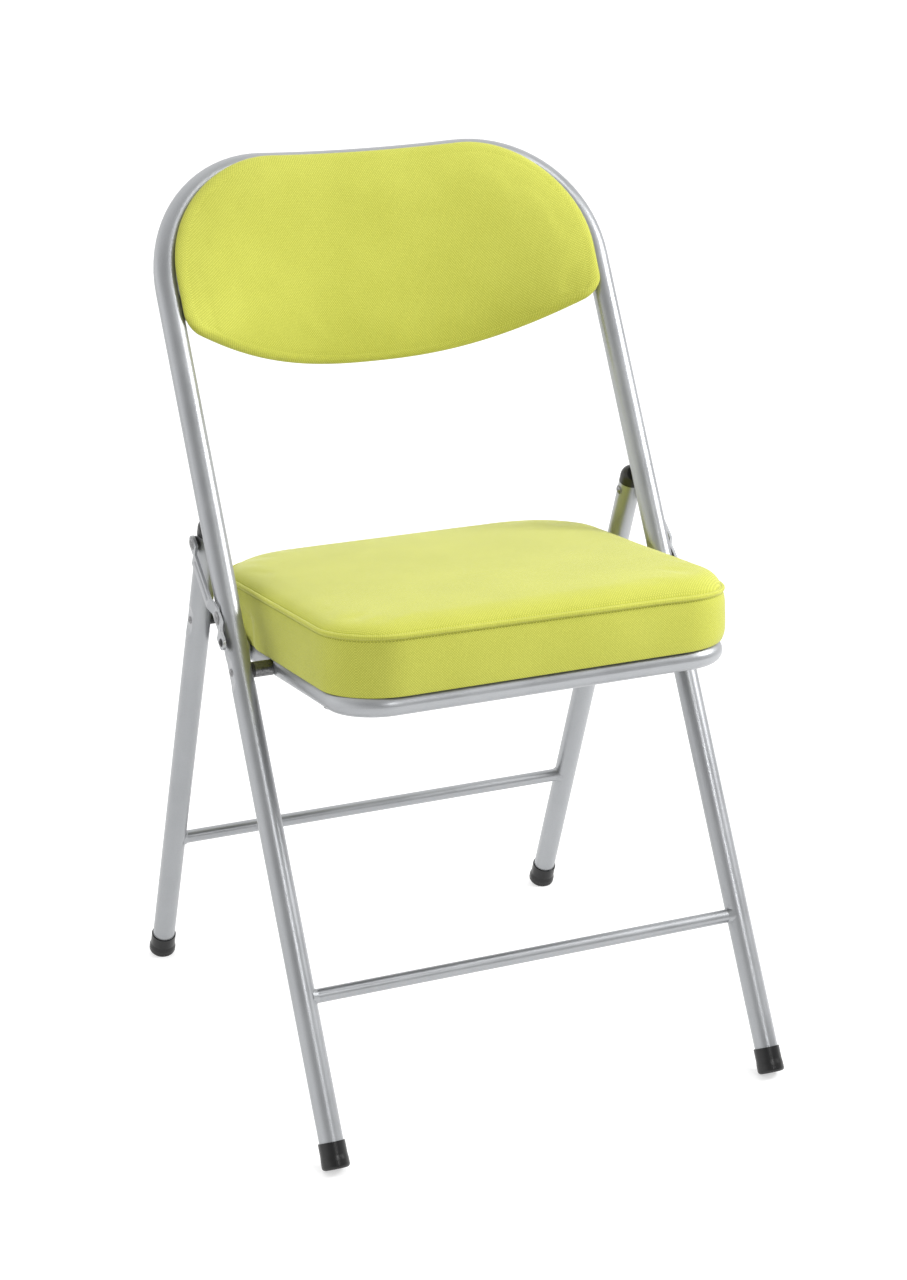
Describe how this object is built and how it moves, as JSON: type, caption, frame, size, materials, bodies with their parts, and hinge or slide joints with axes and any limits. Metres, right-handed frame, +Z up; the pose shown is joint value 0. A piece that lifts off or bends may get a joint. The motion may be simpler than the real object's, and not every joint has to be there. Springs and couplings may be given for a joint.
{
  "type": "folding chair",
  "caption": "Folding chair of silver steel tube with a lime fabric box cushion and a dished padded back; legs, seat and side links fold flat.",
  "frame": {"origin": "on the floor, midway between the four feet", "axes": "+Z up, the chair faces -Y, +X to the sitter's left"},
  "size_m": [0.4764, 0.5134, 0.8229],
  "materials": {
    "frame_paint": "silver satin paint",
    "link_steel": "silver satin paint on pressed steel",
    "rivet_steel": "zinc plated, satin",
    "screw_steel": "zinc plated",
    "foot_rubber": "black, slightly glossy",
    "black_plastic": "black, moulded",
    "fabric": "lime green fine twill",
    "board": "plywood covered with thin black cloth"
  },
  "bodies": {
    "front_frame": {"front_frame_hoop": "frame_paint", "front_stretcher": "frame_paint", "front_foot_left": "foot_rubber", "front_foot_right": "foot_rubber", "back_board": "board", "back_pad": "fabric", "back_tabs": "frame_paint", "back_screws": "screw_steel", "seat_pivot_rivets": "rivet_steel", "seat_pivot_washers": "black_plastic", "link_pivot_rivets": "rivet_steel", "link_pivot_washers": "black_plastic"},
    "seat": {"seat_front_bow": "frame_paint", "seat_rail_left": "frame_paint", "seat_rail_right": "frame_paint", "seat_hinge_plate_left": "frame_paint", "seat_hinge_plate_right": "frame_paint", "seat_pivot_sleeves": "rivet_steel", "seat_rail_plugs": "black_plastic", "rear_pivot_spacers": "black_plastic", "seat_board": "board", "seat_cushion": "fabric", "seat_screws": "screw_steel"},
    "rear_frame": {"rear_leg_left": "frame_paint", "rear_leg_right": "frame_paint", "rear_stretcher": "frame_paint", "rear_foot_left": "foot_rubber", "rear_foot_right": "foot_rubber", "leg_cap_left": "black_plastic", "leg_cap_right": "black_plastic", "rear_pivot_rivets": "rivet_steel", "link_end_leg_rivets": "rivet_steel"},
    "link_left": {"link_left": "link_steel", "link_end_rivet_left": "rivet_steel", "link_end_washers_left": "black_plastic", "link_bumper_left": "black_plastic"},
    "link_right": {"link_right": "link_steel", "link_end_rivet_right": "rivet_steel", "link_end_washers_right": "black_plastic", "link_bumper_right": "black_plastic"}
  },
  "joints": [
    {"name": "seat_fold", "type": "hinge", "parent": "front_frame", "child": "seat", "pos_m": [0, -0.02922, 0.39727], "axis": [-1, 0, 0], "range_deg": [0, 113.55]},
    {"name": "rear_leg_fold", "type": "hinge", "parent": "seat", "child": "rear_frame", "pos_m": [0, 0.09163, 0.40997], "axis": [-1, 0, 0], "range_deg": [-63.91, 0]},
    {"name": "link_left_fold", "type": "hinge", "parent": "front_frame", "child": "link_left", "pos_m": [0.231, -0.00454, 0.4419], "axis": [-1, 0, 0], "range_deg": [0, 141.62]},
    {"name": "link_right_fold", "type": "hinge", "parent": "front_frame", "child": "link_right", "pos_m": [-0.231, -0.00454, 0.4419], "axis": [-1, 0, 0], "range_deg": [0, 141.62]}
  ],
  "couplings": [
    {"joint": "rear_leg_fold", "follows": "seat_fold", "ratio": -0.56276},
    {"joint": "link_left_fold", "follows": "seat_fold", "ratio": 1.2472},
    {"joint": "link_right_fold", "follows": "seat_fold", "ratio": 1.2472}
  ]
}
